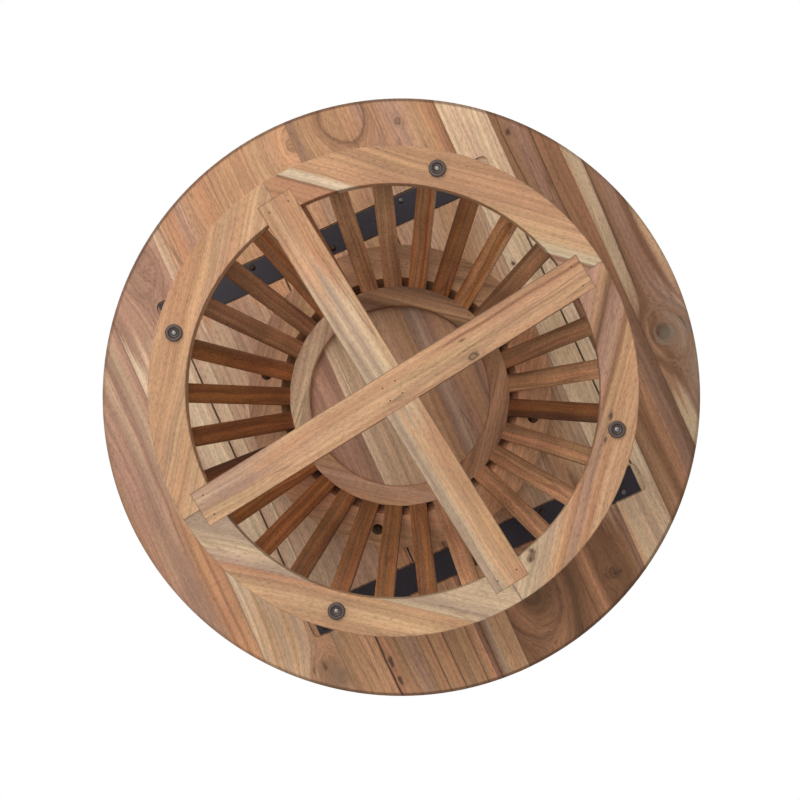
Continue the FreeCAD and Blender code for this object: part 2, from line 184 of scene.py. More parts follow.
# Noise stays mostly between these two values, round its middle
NOISE_SPAN = {"From Min": 0.3, "From Max": 0.7}
NOISE_MIDDLE = 0.5
PORE_NOISE = {"From Min": 0.48, "From Max": 0.70}
VEIN_WIDTH = 0.012
VEIN_CLOUDS = {"From Min": 0.4, "From Max": 0.6}
FLAME_REACH_MM = 110
HUE_RANGE = {"To Min": 0.494, "To Max": 0.506}
EDGE_LINE_MM = 1.6
ROUGHNESS_RANGE = {"To Min": 0.5, "To Max": 0.7}
WOOD_GLOSS = 0.25
PORE_DEPTH = 0.25 * MM
PORE_RELIEF = 0.5
GROWTH_RELIEF = 0.5

# The round top's rim: end grain at the ends of the planks drinks more oil and is darker, and the shade of
# the rounded edge is painted into the same dark band
RIM_FADE_MM = {"From Min": 394.8, "From Max": 396.4}
RIM_ENDS_MM = {"From Min": 120, "From Max": 330}
RIM_SHADES = {"To Min": 0.1, "To Max": 0.65}

# Painted shade on the walls of the recesses and saw kerfs in the underside, from one height to another, and
# on the kerfs' floors
UNDERSIDE_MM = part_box("top_plank_1")[0][2] / MM
HOLLOW_RISE_MM = (0.2, 0.8)
HOLLOW_HEIGHT_MM = 4.4
HOLLOW_REACH_MM = 375
HOLLOW_SHADE = 0.85

# A knot's outline is pushed in and out by a share of its radius, up to a few millimetres
KNOT_WARP = 0.8
KNOT_WARP_MOST_MM = 2.5
KNOT_REACH = 3.2
# How much of its tone shows at a distance from its heart in radii: a dark heart, a dark ring round a paler
# heart, a disc of one tone, a soft stain, or only a thin line round a swirl
DARK_HEART = ((0.0, 1.0), (0.7, 0.9), (1.0, 0.5), (1.35, 0.15), (KNOT_REACH, 0.0))
DARK_RING = ((0.0, 0.45), (0.4, 0.6), (0.75, 1.0), (1.05, 0.6), (1.35, 0.2), (KNOT_REACH, 0.0))
DISC = ((0.0, 1.0), (0.75, 1.0), (1.05, 0.25), (1.3, 0.0))
STAIN = ((0.0, 1.0), (0.6, 0.85), (1.1, 0.3), (1.7, 0.0))
THIN_LINE = ((0.0, 0.0), (0.86, 0.14), (0.96, 1.0), (1.02, 0.6), (1.2, 0.22), (1.7, 0.0))


@dataclass
class Knot:
    """A knot or stain: its place across and along the board and its radius in mm, and its look.

    Stretch is along the grain, shade is how much of the tone shows, and rings how much the inside is ringed.
    """
    across: float
    along: float
    radius: float
    stretch: float = 1.5
    shade: float = 0.9
    tone: str = "knot"
    shades: tuple = DARK_HEART
    rings: float = 1.0


@dataclass
class Later:
    """Tones across a board that take over between two places along it, in mm."""
    start: float
    end: float
    bands: tuple


@dataclass
class Board:
    """A board: grain direction in degrees, tones across its near end and further along, and its figure.

    Drift and figure are swings of the grain in mm. Growth, vessels, clouds, veins and the seam's dark joint
    line with its painted gap shade are contrasts.
    """
    grain: float
    near: tuple
    later: tuple = ()
    knots: tuple = ()
    light: float = 1.0
    drift: float = 8
    figure: float = 7
    growth: float = 0.23
    vessels: float = 0.38
    clouds: float = 0.14
    veins: float = 0.5
    edges: tuple = ()
    ends: tuple = ()
    seam: float = 0.7
    quarter: bool = False
    rim: bool = False
    seed: float = 0


def board_place(tree, grain):
    """Millimetres across the grain, along it and through the board."""
    place = add(tree, "ShaderNodeTexCoord", out="Object")
    turn = (0, 0, math.radians(90 - grain))
    return add(tree, MAPPING, {"Vector": place, "Rotation": turn, "Scale": [1 / MM] * 3})


def flat_radius(tree, x, y):
    """A place's distance from the table's upright axis."""
    flat = add(tree, "ShaderNodeCombineXYZ", [x, y, 0.0])
    return add(tree, "ShaderNodeVectorMath", [flat], out="Value", operation="LENGTH")


def slat_place(tree):
    """Millimetres across, along and through whichever slat the point is on, and the slat's number."""
    place = add(tree, "ShaderNodeTexCoord", out="Object")
    place = add(tree, MAPPING, {"Vector": place, "Scale": [1 / MM] * 3})
    x, y, z = add(tree, "ShaderNodeSeparateXYZ", {"Vector": place}).node.outputs
    pitch = 2 * math.pi / SLAT_COUNT
    start = math.radians(SLAT_START_ANGLE)
    angle = add(tree, MATH, [y, x], operation="ARCTAN2")
    steps = add(tree, MATH, [angle, 1 / pitch, -start / pitch], operation="MULTIPLY_ADD")
    number = add(tree, MATH, [steps], operation="ROUND")
    own_angle = add(tree, MATH, [number, pitch, start], operation="MULTIPLY_ADD")
    off_middle = add(tree, MATH, [angle, own_angle], operation="SUBTRACT")
    radius = flat_radius(tree, x, y)
    sine = add(tree, MATH, [off_middle], operation="SINE")
    cosine = add(tree, MATH, [off_middle], operation="COSINE")
    across = add(tree, MATH, [radius, sine], operation="MULTIPLY")
    outwards = add(tree, MATH, [radius, cosine], operation="MULTIPLY")
    through = add(tree, MATH, [z, SLAT_SLOPE, outwards], operation="MULTIPLY_ADD")
    own = add(tree, MATH, [number, SLAT_COUNT], operation="FLOORED_MODULO")
    return add(tree, "ShaderNodeCombineXYZ", [across, z, through]), own


def grain_noise(tree, place, pattern, board, out=0):
    """One pattern of a board's wood, as a noise."""
    scale = [1 / size for size in pattern.size]
    seed = board.seed + pattern.draw
    shift = [step * seed for step in SEED_STEPS]
    spread = add(tree, MAPPING, {"Vector": place, "Scale": scale, "Location": shift})
    inputs = {"Vector": spread, "Scale": 1.0, "Detail": pattern.detail, "Roughness": NOISE_ROUGHNESS}
    return add(tree, NOISE, inputs, out=out)


def swing(tree, line, noise, reach):
    """A place across or along the grain, swung to both sides by a noise."""
    aside = add(tree, MATH, [noise, 2 * reach, -reach], operation="MULTIPLY_ADD")
    return add(tree, MATH, [line, aside], operation="ADD")


def bend_round(tree, across, along, warp, knot):
    """The grain bent round a knot, ringed or plain inside it, and the distance from its heart in radii."""
    sideways = add(tree, MATH, [across, knot.across], operation="SUBTRACT")
    lengthways = add(tree, MATH, [along, knot.along], operation="SUBTRACT")
    lengthways = add(tree, MATH, [lengthways, knot.stretch], operation="DIVIDE")
    push = min(KNOT_WARP * knot.radius, KNOT_WARP_MOST_MM)
    aside = swing(tree, sideways, warp[0], push)
    onwards = swing(tree, lengthways, warp[1], push)
    square = add(tree, MATH, [aside, aside], operation="MULTIPLY")
    square = add(tree, MATH, [onwards, onwards, square], operation="MULTIPLY_ADD")
    square = add(tree, MATH, [square, knot.radius ** 2], operation="DIVIDE")
    distance = add(tree, MATH, [square], operation="SQRT")
    outside = add(tree, MATH, [square, 1.0], operation="MAXIMUM")
    hidden = add(tree, MATH, [1.0, outside], operation="DIVIDE")
    kept = add(tree, MATH, [1.0, hidden], operation="SUBTRACT")
    inside = add(tree, MATH, [distance, 1.0], operation="LESS_THAN")
    plain = add(tree, MATH, [inside, 1 - knot.rings], operation="MULTIPLY")
    kept = add(tree, MATH, [kept, plain], operation="MAXIMUM")
    bent = add(tree, MATH, [sideways, kept, knot.across], operation="MULTIPLY_ADD")
    inwards = add(tree, MATH, [1.0, distance], operation="SUBTRACT", use_clamp=True)
    bent = add(tree, MATH, [inwards, knot.rings * knot.radius, bent], operation="MULTIPLY_ADD")
    return bent, distance


def band_colour(tree, across, bands):
    """The tones that lie across a board."""
    first, last = bands[0][0], bands[-1][0]
    share = add(tree, RANGE, {"Value": across, "From Min": first, "From Max": last})
    ramp = add(tree, RAMP, {"Fac": share})
    stops(ramp, [((place - first) / (last - first), linear(TONES[tone])) for place, tone in bands])
    return ramp


def knot_shade(tree, distance, knot):
    """How much of a knot's own tone shows at a distance from its heart."""
    share = add(tree, MATH, [distance, KNOT_REACH], operation="DIVIDE")
    ramp = add(tree, RAMP, {"Fac": share})
    stops(ramp, [(radii / KNOT_REACH, [knot.shade * shade] * 3 + [1.0]) for radii, shade in knot.shades])
    return ramp


def tinted(tree, colour, tone, share):
    """A colour with a share of a tone mixed in."""
    inputs = {MIX_FACTOR: share, MIX_FIRST: colour, MIX_SECOND: linear(TONES[tone])}
    return add(tree, MIX, inputs, out=MIX_RESULT, data_type="RGBA")


def joint_lines_and_gap_shade(tree, colour, across, along, board):
    """Thin dark lines where the board meets its neighbours: the joints, with painted shade of the small gaps
    there.
    """
    insides = []
    for place, limits in ((across, board.edges), (along, board.ends)):
        if limits:
            low = add(tree, MATH, [place, limits[0]], operation="SUBTRACT")
            high = add(tree, MATH, [limits[1], place], operation="SUBTRACT")
            insides.append(add(tree, MATH, [low, high], operation="MINIMUM"))
    if board.quarter:
        aside = add(tree, MATH, [along], operation="ABSOLUTE")
        past = add(tree, MATH, [across, aside], operation="SUBTRACT")
        insides.append(add(tree, MATH, [past, math.sqrt(2)], operation="DIVIDE"))
    for inside in insides:
        inputs = {"Value": inside, "From Max": EDGE_LINE_MM, "To Min": board.seam, "To Max": 0.0}
        colour = tinted(tree, colour, "bark", add(tree, RANGE, inputs))
    return colour


def dark_rim_and_edge_shade(tree, colour, across, along):
    """The round edge of the top, dark where it cuts the ends of the planks: end grain, with painted shade of
    the rounded edge.
    """
    radius = flat_radius(tree, across, along)
    rim = add(tree, RANGE, {"Value": radius, **RIM_FADE_MM})
    aside = add(tree, MATH, [along], operation="ABSOLUTE")
    end_grain = add(tree, RANGE, {"Value": aside, **RIM_ENDS_MM, **RIM_SHADES})
    return tinted(tree, colour, "bark", add(tree, MATH, [rim, end_grain], operation="MULTIPLY"))


def painted_hollow_shade(tree, colour, across, along, height):
    """Painted shade on the recess walls and saw kerfs in the underside."""
    radius = flat_radius(tree, across, along)
    inside = add(tree, MATH, [radius, HOLLOW_REACH_MM], operation="LESS_THAN")
    low = add(tree, MATH, [height, UNDERSIDE_MM + HOLLOW_HEIGHT_MM], operation="LESS_THAN")
    start, end = [UNDERSIDE_MM + rise for rise in HOLLOW_RISE_MM]
    inputs = {"Value": height, "From Min": start, "From Max": end, "To Max": HOLLOW_SHADE}
    share = add(tree, RANGE, inputs)
    for limit in (inside, low):
        share = add(tree, MATH, [share, limit], operation="MULTIPLY")
    return tinted(tree, colour, "bark", share)


def bands_along(tree, place, across, along, board):
    """The board's bands of colour, from its near end on to later stretches that run into each other."""
    colour = band_colour(tree, across, board.near)
    flames = grain_noise(tree, place, FLAME, board)
    along = swing(tree, along, flames, FLAME_REACH_MM)
    for stretch in board.later:
        tones = band_colour(tree, across, stretch.bands)
        inputs = {"Value": along, "From Min": stretch.start, "From Max": stretch.end}
        change = add(tree, RANGE, inputs, interpolation_type="SMOOTHSTEP")
        inputs = {MIX_FACTOR: change, MIX_FIRST: colour, MIX_SECOND: tones}
        colour = add(tree, MIX, inputs, out=MIX_RESULT, data_type="RGBA")
    return colour


def dark_veins(tree, colour, vein, cloud, board):
    """Thin dark veins, where the clouds let them show."""
    off_vein = add(tree, MATH, [vein, NOISE_MIDDLE], operation="SUBTRACT")
    off_vein = add(tree, MATH, [off_vein], operation="ABSOLUTE")
    inputs = {"Value": off_vein, "From Max": VEIN_WIDTH, "To Min": board.veins, "To Max": 0.0}
    streak = add(tree, RANGE, inputs)
    shown = add(tree, RANGE, {"Value": cloud, **VEIN_CLOUDS})
    return tinted(tree, colour, "bark", add(tree, MATH, [streak, shown], operation="MULTIPLY"))


def wood(tree, place, board, light):
    """Colour, roughness and pores of a board, as the inputs of its shader."""
    straight, along, depth = add(tree, "ShaderNodeSeparateXYZ", {"Vector": place}).node.outputs
    across = swing(tree, straight, grain_noise(tree, place, DRIFT, board), board.drift)
    warp = grain_noise(tree, place, WARP, board, out="Color")
    warp = add(tree, "ShaderNodeSeparateXYZ", {"Vector": warp}).node.outputs
    distances = []
    for knot in board.knots:
        across, distance = bend_round(tree, across, along, warp, knot)
        distances.append(distance)
    line = swing(tree, across, grain_noise(tree, place, FIGURE, board), board.figure)
    flow = add(tree, "ShaderNodeCombineXYZ", [line, along, depth])
    growth = grain_noise(tree, flow, GROWTH, board)
    vessels = grain_noise(tree, flow, VESSELS, board)
    vein = grain_noise(tree, flow, VEIN, board)
    cloud = grain_noise(tree, place, CLOUD, board)
    blush = grain_noise(tree, flow, BLUSH, board)

    colour = bands_along(tree, place, across, along, board)
    inputs = {"Value": vessels, **PORE_NOISE, "To Min": 1.0, "To Max": 1 - board.vessels}
    pores = add(tree, RANGE, inputs)
    shares = [pores]
    for pattern, contrast in ((growth, board.growth), (cloud, board.clouds)):
        inputs = {"Value": pattern, **NOISE_SPAN, "To Min": 1 - contrast, "To Max": 1 + contrast}
        shares.append(add(tree, RANGE, inputs))
    for share in shares:
        light = add(tree, MATH, [light, share], operation="MULTIPLY")
    hue = add(tree, RANGE, {"Value": blush, **NOISE_SPAN, **HUE_RANGE})
    colour = add(tree, "ShaderNodeHueSaturation", {"Color": colour, "Hue": hue, "Value": light})
    colour = dark_veins(tree, colour, vein, cloud, board)
    for knot, distance in zip(board.knots, distances):
        colour = tinted(tree, colour, knot.tone, knot_shade(tree, distance, knot))
    # Dark joint lines, with painted shade of the small gaps at the joints
    colour = joint_lines_and_gap_shade(tree, colour, straight, along, board)
    if board.rim:
        # Painted shade in the underside's recesses and saw kerfs
        colour = painted_hollow_shade(tree, colour, straight, along, depth)
        # Dark rim: end grain, with painted shade of the rounded edge
        colour = dark_rim_and_edge_shade(tree, colour, straight, along)
    rough = add(tree, RANGE, {"Value": vessels, **NOISE_SPAN, **ROUGHNESS_RANGE})
    height = add(tree, MATH, [growth, GROWTH_RELIEF, pores], operation="MULTIPLY_ADD")
    inputs = {"Strength": PORE_RELIEF, "Distance": PORE_DEPTH, "Height": height}
    relief = add(tree, "ShaderNodeBump", inputs)
    return {"Base Color": colour, "Roughness": rough, "Normal": relief, "Specular IOR Level": WOOD_GLOSS}


def acacia(name, board):
    """Oiled acacia for one board."""
    material, tree = new_tree(f"oiled_acacia_{name}")
    surface(tree, wood(tree, board_place(tree, board.grain), board, board.light))
    return material


SLAT_SHIFT_MM = 83.0
SLAT_DARKEST, SLAT_LIGHTEST = 0.94, 1.06


def acacia_slat(name, board):
    """Oiled acacia for slats of one tone; each slat is cut from another place and lighter or darker."""
    material, tree = new_tree(f"oiled_acacia_{name}")
    place, own = slat_place(tree)
    apart = add(tree, MATH, [own, SLAT_SHIFT_MM], operation="MULTIPLY")
    shift = add(tree, "ShaderNodeCombineXYZ", [0.0, apart, apart])
    place = add(tree, "ShaderNodeVectorMath", [place, shift], operation="ADD")
    chance = add(tree, "ShaderNodeTexWhiteNoise", {"W": own}, noise_dimensions="1D")
    inputs = {"Value": chance, "To Min": board.light * SLAT_DARKEST, "To Max": board.light * SLAT_LIGHTEST}
    surface(tree, wood(tree, place, board, add(tree, RANGE, inputs)))
    return material


# Top planks; the grain runs along Y, so a band's place is its X and a knot's is X and Y

# How dark the joint lines between planks are, painted gap shade included
PLANK_SEAM = 0.35


def plank(number, near, *later, **more):
    """A plank of the top, as wide as its CAD node and cut round at the rim."""
    low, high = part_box(f"top_plank_{number}")
    sides = (low[0] / MM, high[0] / MM)
    return Board(ALONG_Y, near, later, edges=sides, seam=PLANK_SEAM, rim=True, seed=number, **more)


PLANKS = {
    1: plank(
        1,
        (
            (-400, "tan"), (-385, "rose"), (-362, "rose"), (-350, "fawn"), (-345.5, "rose"),
            (-344, "mauve"), (-342.5, "rose"), (-330, "fawn"), (-318, "rose"), (-307, "mauve"),
        ),
        Later(-60, 80, (
            (-400, "tan"), (-371, "rose"), (-350, "rose"), (-335, "rust"), (-318, "rust"),
            (-307, "tan"),
        )),
        veins=0.3,
        light=1.12,
    ),
    2: plank(
        2,
        (
            (-307, "cream"), (-304.5, "cream"), (-303, "mauve"), (-285, "rose"), (-262, "rose"),
            (-242, "mauve"), (-226, "rose"), (-214, "tan"),
        ),
        Later(-215, -150, (
            (-307, "cream"), (-280, "fawn"), (-250, "cream"), (-233, "fawn"), (-214, "cream"),
        )),
        Later(120, 200, (
            (-307, "sapwood"), (-285, "straw"), (-272, "fawn"), (-262, "straw"), (-250, "fawn"),
            (-236, "tan"), (-214, "tan"),
        )),
        knots=(
            Knot(-252, -300, 24, stretch=1.5, shade=0.3, tone="umber", shades=THIN_LINE, rings=0.4),
            Knot(-236, 300, 19, stretch=1.3, shade=0.5, tone="umber", shades=STAIN, rings=0.0),
            Knot(-241, 288, 2.4, stretch=2.4, shade=0.75, tone="bark"),
            Knot(-230, 312, 18, stretch=1.2, shade=0.35, tone="slate", shades=STAIN, rings=0.6),
            Knot(-218, -277, 2.5),
        ),
        veins=0.25,
        light=1.28,
    ),
    3: plank(
        3,
        (
            (-214, "fawn"), (-196, "tan"), (-186, "rust"), (-168, "rose"), (-150, "tan"),
            (-130, "rust"), (-110, "tan"),
        ),
        Later(-240, -200, ((-214, "fawn"), (-180, "fawn"), (-150, "rose"), (-110, "fawn"))),
        Later(190, 260, (
            (-214, "tan"), (-190, "honey"), (-163, "honey"), (-162, "bark"), (-160.5, "bark"),
            (-158.5, "rust"), (-140, "tan"), (-125, "rose"), (-110, "tan"),
        )),
        knots=(
            Knot(-157, 318, 3.0, stretch=2.6),
            Knot(-156, 345, 2.4, stretch=2.5),
            Knot(-106, -357, 3.0, stretch=3.0, shade=0.7),
        ),
        light=1.24,
    ),
    4: plank(
        4,
        ((-110, "tan"), (-80, "honey"), (-40, "honey"), (-15, "straw"), (9, "honey")),
        Later(90, 240, (
            (-110, "tan"), (-99.2, "rust"), (-98, "bark"), (-96.8, "tan"), (-79.2, "rust"),
            (-78, "bark"), (-76.5, "tan"), (-57, "tan"), (-49.2, "rust"), (-48, "umber"),
            (-46.8, "tan"), (-36.2, "rust"), (-35, "umber"), (-33.8, "mauve"), (-30.2, "chestnut"),
            (-29, "bark"), (-27.8, "chestnut"), (-22, "grey_tan"), (-16, "straw"), (-4, "honey"),
            (9, "straw"),
        )),
        knots=(
            Knot(2, -366, 36, stretch=1.6, shade=0.3, tone="umber", shades=THIN_LINE, rings=0.6),
        ),
        drift=3,
        light=1.23,
    ),
    5: plank(
        5,
        (
            (9, "tan"), (18, "honey"), (30, "mauve"), (40, "tan"), (66, "honey"), (92, "honey"),
            (106, "rose"), (122, "tan"),
        ),
        Later(-330, -230, ((9, "fawn"), (60, "tan"), (122, "fawn"))),
        Later(200, 290, (
            (9, "chestnut"), (35, "chestnut"), (52, "rust"), (70, "umber"), (90, "chestnut"),
            (108, "rust"), (122, "chestnut"),
        )),
        knots=(
            Knot(82, -376, 31, stretch=1.3, shade=0.85, tone="umber", shades=THIN_LINE, rings=0.0),
            Knot(47, 308, 44, stretch=1.5, shade=0.5, tone="bark", shades=THIN_LINE, rings=0.7),
        ),
        light=1.1,
    ),
    6: plank(
        6,
        ((122, "tan"), (150, "rose"), (178, "tan"), (186, "rust"), (203, "chestnut")),
        Later(-240, -180, ((122, "fawn"), (160, "tan"), (203, "fawn"))),
        Later(190, 260, (
            (122, "chestnut"), (138, "rust"), (150, "chestnut"), (170, "umber"), (185, "chestnut"),
            (203, "mauve"),
        )),
        knots=(
            Knot(151, -338, 3.5, stretch=1.4, shade=0.6, tone="knot", shades=DARK_RING),
            Knot(162, 331, 5.5, stretch=1.3, shade=0.55, tone="cocoa", shades=DISC, rings=0.0),
            Knot(162, 331, 5.5, stretch=1.3, shade=0.7, tone="knot", shades=THIN_LINE, rings=0.0),
            Knot(164, 333, 1.3, stretch=1.2, shade=0.95),
        ),
        light=1.21,
    ),
    7: plank(
        7,
        ((203, "tan"), (206, "sapwood"), (225, "fawn"), (245, "sapwood"), (260, "fawn")),
        Later(-190, -150, ((203, "cream"), (230, "sapwood"), (260, "cream"))),
        Later(190, 260, (
            (203, "tan"), (215, "sapwood"), (235, "fawn"), (250, "sapwood"), (260, "fawn"),
        )),
        knots=(Knot(210, -100, 2.2),),
        veins=0.2,
        light=1.37,
    ),
    8: plank(
        8,
        (
            (260, "umber"), (263, "chestnut"), (269.5, "chestnut"), (271, "bark"), (272.5, "chestnut"),
            (292, "mauve"), (303.5, "chestnut"), (305, "bark"), (306.5, "chestnut"), (331, "chestnut"),
        ),
        Later(-60, 100, (
            (260, "chestnut"), (275, "tan"), (284, "chestnut"), (300, "rust"), (312, "mauve"),
            (331, "umber"),
        )),
        knots=(Knot(278, -263, 3.2),),
        veins=0.6,
        light=1.08,
    ),
    9: plank(
        9,
        (
            (331, "tan"), (337, "sapwood"), (348, "fawn"), (350, "bark"), (352, "chestnut"),
            (366, "mauve"), (378, "umber"), (381, "umber"), (385, "straw"), (400, "sapwood"),
        ),
        Later(-40, 60, (
            (331, "mauve"), (345, "tan"), (352, "chestnut"), (370, "grey_tan"), (385, "mauve"),
            (400, "tan"),
        )),
        Later(150, 190, (
            (331, "grey_tan"), (336, "sapwood"), (348, "sapwood"), (353, "mauve"), (370, "grey_tan"),
            (400, "mauve"),
        )),
        knots=(
            Knot(358, 71, 27, stretch=1.3, shade=0.35, tone="umber", shades=THIN_LINE, rings=0.0),
            Knot(355, 66, 9.5, stretch=1.2, shade=0.75, tone="bark", shades=DISC, rings=0.0),
            Knot(357.5, 72, 10, stretch=1.2, shade=0.65, tone="slate", shades=STAIN),
            Knot(354, 66, 2.2, stretch=1.2, shade=0.6, tone="bark"),
        ),
        light=1.09,
    ),
}


# Ring segments; bands are measured out from the table's middle along the segment's own middle line

FOOT_VEINS = 0.3


def segment(quarter, near, *later, tilt=0, **more):
    """A quarter of a ring, with its grain along the chord or tilted from it."""
    middle_angle = BRACE_ANGLE + QUARTER_TURN * (quarter - 0.5)
    return Board(middle_angle + QUARTER_TURN + tilt, near, later, quarter=tilt == 0, **more)


FOOT_SEGMENTS = {
    1: segment(
        1,
        (
            (160, "rose"), (200, "rose"), (212, "tan"), (221, "umber"), (226, "mauve"), (238, "rose"),
            (246, "chestnut"), (252, "tan"), (270, "honey"), (295, "honey"),
        ),
        Later(-70, 30, (
            (160, "fawn"), (205, "sapwood"), (222, "fawn"), (232, "straw"), (240, "rust"),
            (243, "tan"), (252, "rose"), (258, "honey"), (264, "rust"), (267, "straw"), (295, "honey"),
        )),
        knots=(
            Knot(205, 151, 4.2, stretch=2.1, shade=0.7, tone="cocoa", shades=DISC, rings=0.0),
            Knot(205, 156, 1.8, stretch=1.8, shade=0.8),
            Knot(204.5, 146, 1.6, stretch=1.6, shade=0.8),
            Knot(257.5, -30, 2.4, stretch=2.2, shade=0.85),
            Knot(257.5, -1, 1.6, stretch=2.0, shade=0.8),
        ),
        drift=5,
        veins=FOOT_VEINS,
        seed=21,
    ),
    2: segment(
        2,
        (
            (160, "sapwood"), (215, "sapwood"), (232, "grey_tan"), (240, "sapwood"), (244, "honey"),
            (265, "straw"), (295, "honey"),
        ),
        Later(-120, 120, (
            (160, "grey_tan"), (205, "grey_tan"), (225, "sapwood"), (240, "grey_tan"), (245, "rust"),
            (248, "honey"), (262, "straw"), (295, "honey"),
        )),
        drift=4,
        veins=FOOT_VEINS,
        seed=22,
    ),
    3: segment(
        3,
        (
            (160, "honey"), (205, "straw"), (216, "tan"), (220, "honey"), (240, "straw"),
            (262, "honey"), (295, "straw"),
        ),
        Later(-120, 120, (
            (160, "honey"), (210, "straw"), (222, "honey"), (240, "straw"), (255, "honey"),
            (266, "rust"), (280, "rust"), (295, "honey"),
        )),
        light=1.05,
        veins=FOOT_VEINS,
        seed=23,
    ),
    4: segment(
        4,
        (
            (160, "rust"), (205, "rust"), (208, "chestnut"), (210, "cream"), (218, "cream"),
            (222, "honey"), (260, "honey"), (295, "honey"),
        ),
        Later(-120, 120, (
            (160, "mauve"), (200, "rose"), (206, "chestnut"), (209, "cream"), (217, "sapwood"),
            (224, "straw"), (260, "honey"), (295, "tan"),
        )),
        tilt=3,
        drift=3,
        veins=FOOT_VEINS,
        seed=24,
    ),
}

HUB_SEGMENTS = {
    1: segment(1, ((80, "chestnut"), (100, "chestnut"), (125, "tan"), (145, "chestnut")), seed=31),
    2: segment(2, ((80, "chestnut"), (105, "tan"), (120, "rose"), (145, "tan")), light=1.15, seed=32),
    3: segment(3, ((80, "rose"), (105, "rose"), (120, "sapwood"), (145, "fawn")), light=1.18, seed=33),
    4: segment(4, ((80, "umber"), (98, "mauve"), (110, "umber"), (122, "tan"), (145, "umber")), seed=34),
}

MOUNTING_SEGMENTS = {
    1: segment(1, ((105, "tan"), (150, "rust"), (205, "tan")), light=1.36, seed=41),
    2: segment(2, ((105, "tan"), (150, "rust"), (205, "tan")), light=1.15, seed=42),
    3: segment(3, ((105, "mauve"), (150, "tan"), (205, "mauve")), light=1.2, seed=43),
    4: segment(4, ((105, "chestnut"), (150, "tan"), (205, "chestnut")), seed=44),
}

# The base plate is glued up from three boards, so its bands jump at two joints

BASE_PLATE = Board(
    ALONG_Y,
    (
        (-200, "mauve"), (-90, "rose"), (-67, "mauve"), (-66, "cream"), (-52, "sapwood"),
        (-20, "fawn"), (45.5, "tan"), (46.5, "mauve"), (60, "grey_tan"), (75, "mauve"), (90, "tan"),
        (110, "mauve"), (130, "tan"), (200, "mauve"),
    ),
    drift=2,
    light=1.14,
    seed=50,
)

# Braces; bands run from one edge to the other

BRACE_EDGES = (-22.5, 22.5)
BRACE_ENDS = (-268, 268)
BRACE_LOOK = {
    "growth": 0.2, "vessels": 0.34, "figure": 9, "drift": 7,
    "edges": BRACE_EDGES, "ends": BRACE_ENDS,
}

BRACES = {
    1: Board(
        BRACE_ANGLE,
        ((-22.5, "straw"), (-9, "straw"), (-2, "rose"), (10, "fawn"), (22.5, "rose")),
        (
            Later(-215, -170, (
                (-22.5, "honey"), (-12, "straw"), (0, "straw"), (8, "honey"), (22.5, "straw"),
            )),
            Later(20, 90, (
                (-22.5, "honey"), (-8, "straw"), (-5, "tan"), (-2, "straw"), (9, "honey"),
                (12, "chestnut"), (15, "honey"), (22.5, "tan"),
            )),
        ),
        knots=(
            Knot(-15, 102, 4, stretch=1.8, shade=0.85, tone="knot", shades=DARK_RING),
            Knot(6.5, 101, 1.6, stretch=2.5, shade=0.7),
        ),
        seed=61,
        **BRACE_LOOK,
    ),
    2: Board(
        BRACE_ANGLE + QUARTER_TURN,
        ((-22.5, "honey"), (-8, "straw"), (8, "rust"), (22.5, "honey")),
        (
            Later(-190, -110, (
                (-22.5, "sapwood"), (-14, "grey_tan"), (-8, "sapwood"), (-2, "grey_tan"),
                (6, "sapwood"), (22.5, "straw"),
            )),
            Later(10, 60, (
                (-22.5, "sapwood"), (-16, "grey_tan"), (-10, "sapwood"), (-4, "straw"), (2, "straw"),
                (10, "honey"), (22.5, "honey"),
            )),
        ),
        seed=62,
        **BRACE_LOOK,
    ),
}

# Slats by tone, dark heartwood first; bands run across a slat

SLAT_LOOK = {
    "drift": 4, "figure": 6, "growth": 0.38, "vessels": 0.5, "clouds": 0.24, "veins": 0.5,
    "light": 1.08,
}


def slat(seed, *bands):
    """A slat's board; its grain runs along it."""
    return Board(0, bands, seed=seed, **SLAT_LOOK)


SLAT_BOARDS = {
    "dark": slat(71, (-12, "cocoa"), (-2, "russet"), (4, "cocoa"), (12, "bark")),
    "russet": slat(72, (-12, "russet"), (-2, "copper"), (5, "russet"), (12, "amber")),
    "chestnut": slat(73, (-12, "chestnut"), (-4, "amber"), (3, "chestnut"), (12, "amber")),
    "tan": slat(74, (-12, "chestnut"), (-4, "tan"), (3, "rust"), (12, "tan")),
    "amber": slat(75, (-12, "amber"), (-4, "copper"), (3, "amber"), (12, "rust")),
    "honey": slat(76, (-12, "copper"), (-3, "honey"), (4, "copper"), (12, "straw")),
    "straw": slat(77, (-12, "honey"), (-3, "straw"), (4, "honey"), (12, "straw")),
}
# Slats that aren't listed are amber
SLATS_BY_TONE = {
    "dark": (4, 16),
    "russet": (14, 15, 17, 18),
    "chestnut": (10, 11, 12, 13, 27),
    "tan": (2, 3, 5, 6, 7, 8, 9, 20, 21, 29),
    "honey": (22, 26, 28),
    "straw": (24, 25),
}


def dress(node, material):
    """Give a CAD node its material."""
    node_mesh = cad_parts[node].data
    node_mesh.materials.clear()
    node_mesh.materials.append(material)


def dress_wood():
    """Every wooden node gets its board; slats of one tone share one."""
    for number, board in PLANKS.items():
        dress(f"top_plank_{number}", acacia(f"plank_{number}", board))
    rings = {"foot": FOOT_SEGMENTS, "hub": HUB_SEGMENTS, "mounting": MOUNTING_SEGMENTS}
    for quarter in QUARTERS:
        for ring, boards in rings.items():
            dress(f"{ring}_ring_segment_{quarter}", acacia(f"{ring}_{quarter}", boards[quarter]))
    dress("base_plate", acacia("base_plate", BASE_PLATE))
    for number, board in BRACES.items():
        dress(f"cross_brace_{number}", acacia(f"brace_{number}", board))
    slat_materials = {tone: acacia_slat(f"slat_{tone}", board) for tone, board in SLAT_BOARDS.items()}
    tones = {number: tone for tone, numbers in SLATS_BY_TONE.items() for number in numbers}
    for number in range(1, SLAT_COUNT + 1):
        dress(f"slat_{number:02d}", slat_materials[tones.get(number, "amber")])


dress_wood()


# Detail of the noises in steel and plastic, from plain to fine
PLAIN, SOFT, FINE = 1.0, 3.0, 4.0

# Flat steel bar with a satin black coat: nearly even, a little cloudy, with specks of dust

